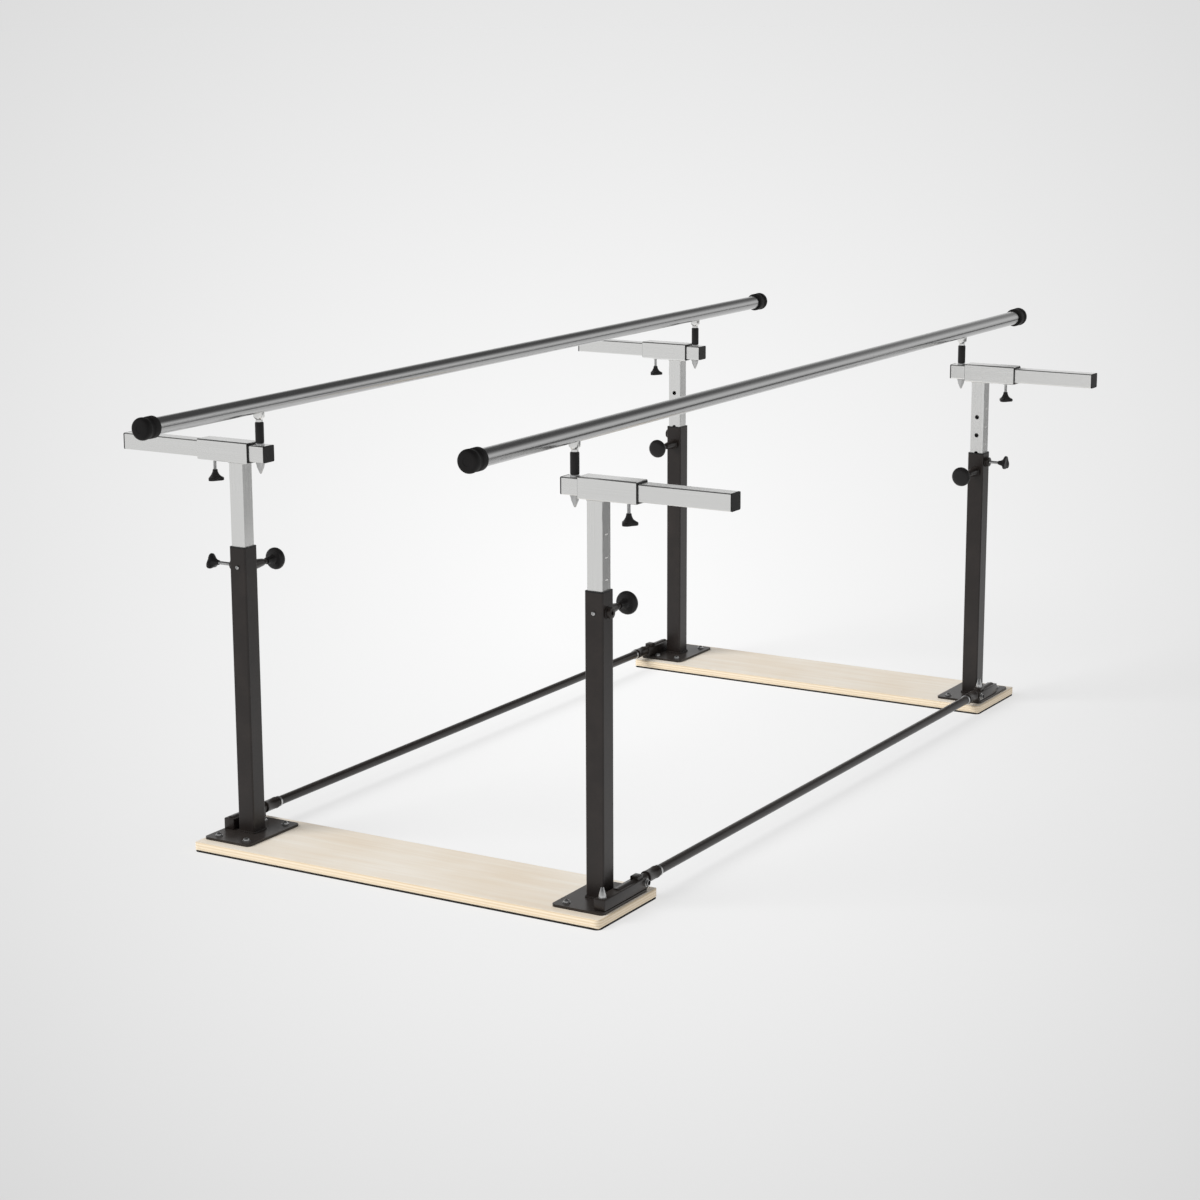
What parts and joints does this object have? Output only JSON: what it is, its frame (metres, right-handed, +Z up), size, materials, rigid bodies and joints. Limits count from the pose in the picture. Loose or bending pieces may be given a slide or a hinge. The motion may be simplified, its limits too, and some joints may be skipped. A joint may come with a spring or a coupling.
{
  "type": "rehab walking parallel bars",
  "caption": "Free-standing walking parallel bars: two handrails on height- and width-adjustable square posts, tied by low braces and fixed to plywood cross boards.",
  "frame": {"origin": "on the floor, under the middle of the walkway", "axes": "+Z up, +Y along the handrails away from the near end, +X to the right across the walkway"},
  "size_m": [1.6, 2.862, 1.0619],
  "materials": {
    "black_steel": "satin black powder coat on steel",
    "chrome": "polished chrome plate on steel tube",
    "birch": "clear satin lacquer on birch plywood",
    "black_rubber": "matt moulded rubber",
    "black_plastic": "fine-grained moulded plastic",
    "zinc_steel": "bright zinc plate"
  },
  "bodies": {
    "base": {"near_board": "birch", "far_board": "birch", "board_mats": "black_rubber", "base_plate_bolts": "zinc_steel", "guide_bushes": "black_plastic", "upright_screws": "zinc_steel", "clamp_bosses": "black_steel", "plunger_barrels": "black_steel", "plunger_springs": "zinc_steel", "left_brace": "black_steel", "right_brace": "black_steel", "brace_sockets": "black_steel", "brace_collars": "black_steel", "brace_fittings": "zinc_steel", "near_left_base_plate": "black_steel", "near_left_outer_upright": "black_steel", "near_right_base_plate": "black_steel", "near_right_outer_upright": "black_steel", "far_right_base_plate": "black_steel", "far_right_outer_upright": "black_steel", "far_left_base_plate": "black_steel", "far_left_outer_upright": "black_steel"},
    "left_lift": {"near_left_inner_upright": "chrome", "far_left_inner_upright": "chrome", "near_left_arm_sleeve": "chrome", "far_left_arm_sleeve": "chrome", "left_lift_glides": "black_plastic"},
    "left_rail": {"near_left_arm_tube": "chrome", "far_left_arm_tube": "chrome", "left_arm_plugs": "black_plastic", "left_handrail": "chrome", "left_rail_end_caps": "black_rubber", "left_rail_pins": "chrome", "left_rail_spacers": "black_plastic", "left_rail_nuts": "zinc_steel"},
    "right_lift": {"near_right_inner_upright": "chrome", "far_right_inner_upright": "chrome", "near_right_arm_sleeve": "chrome", "far_right_arm_sleeve": "chrome", "right_lift_glides": "black_plastic"},
    "right_rail": {"near_right_arm_tube": "chrome", "far_right_arm_tube": "chrome", "right_arm_plugs": "black_plastic", "right_handrail": "chrome", "right_rail_end_caps": "black_rubber", "right_rail_pins": "chrome", "right_rail_spacers": "black_plastic", "right_rail_nuts": "zinc_steel"},
    "near_left_plunger_body": {"near_left_plunger": "black_plastic"},
    "near_left_side_clamp_body": {"near_left_side_clamp": "black_plastic"},
    "near_left_arm_clamp_body": {"near_left_arm_clamp": "black_plastic"},
    "near_right_plunger_body": {"near_right_plunger": "black_plastic"},
    "near_right_arm_clamp_body": {"near_right_arm_clamp": "black_plastic"},
    "far_right_plunger_body": {"far_right_plunger": "black_plastic"},
    "far_right_side_clamp_body": {"far_right_side_clamp": "black_plastic"},
    "far_right_arm_clamp_body": {"far_right_arm_clamp": "black_plastic"},
    "far_left_plunger_body": {"far_left_plunger": "black_plastic"},
    "far_left_arm_clamp_body": {"far_left_arm_clamp": "black_plastic"}
  },
  "joints": [
    {"name": "left_height", "type": "slide", "parent": "base", "child": "left_lift", "axis": [0, 0, 1], "range_m": [-0.15, 0.1]},
    {"name": "left_width", "type": "slide", "parent": "left_lift", "child": "left_rail", "axis": [-1, 0, 0], "range_m": [-0.2, 0.007]},
    {"name": "right_height", "type": "slide", "parent": "base", "child": "right_lift", "axis": [0, 0, 1], "range_m": [-0.15, 0.1]},
    {"name": "right_width", "type": "slide", "parent": "right_lift", "child": "right_rail", "axis": [1, 0, 0], "range_m": [-0.2, 0.007]},
    {"name": "near_left_plunger_pull", "type": "slide", "parent": "base", "child": "near_left_plunger_body", "axis": [0, 1, 0], "range_m": [-0.01, 0]},
    {"name": "near_left_side_clamp_turn", "type": "hinge", "parent": "base", "child": "near_left_side_clamp_body", "pos_m": [-0.474, -1.02, 0.661], "axis": [-1, 0, 0], "continuous": true},
    {"name": "near_left_arm_clamp_turn", "type": "hinge", "parent": "left_lift", "child": "near_left_arm_clamp_body", "pos_m": [-0.5475, -1.02, 0.865], "axis": [0, 0, 1], "continuous": true},
    {"name": "near_right_plunger_pull", "type": "slide", "parent": "base", "child": "near_right_plunger_body", "axis": [0, 1, 0], "range_m": [-0.01, 0]},
    {"name": "near_right_arm_clamp_turn", "type": "hinge", "parent": "right_lift", "child": "near_right_arm_clamp_body", "pos_m": [0.5475, -1.02, 0.865], "axis": [0, 0, 1], "continuous": true},
    {"name": "far_right_plunger_pull", "type": "slide", "parent": "base", "child": "far_right_plunger_body", "axis": [0, -1, 0], "range_m": [-0.01, 0]},
    {"name": "far_right_side_clamp_turn", "type": "hinge", "parent": "base", "child": "far_right_side_clamp_body", "pos_m": [0.474, 1.02, 0.683], "axis": [1, 0, 0], "continuous": true},
    {"name": "far_right_arm_clamp_turn", "type": "hinge", "parent": "right_lift", "child": "far_right_arm_clamp_body", "pos_m": [0.5475, 1.02, 0.865], "axis": [0, 0, 1], "continuous": true},
    {"name": "far_left_plunger_pull", "type": "slide", "parent": "base", "child": "far_left_plunger_body", "axis": [0, -1, 0], "range_m": [-0.01, 0]},
    {"name": "far_left_arm_clamp_turn", "type": "hinge", "parent": "left_lift", "child": "far_left_arm_clamp_body", "pos_m": [-0.5475, 1.02, 0.865], "axis": [0, 0, 1], "continuous": true}
  ]
}
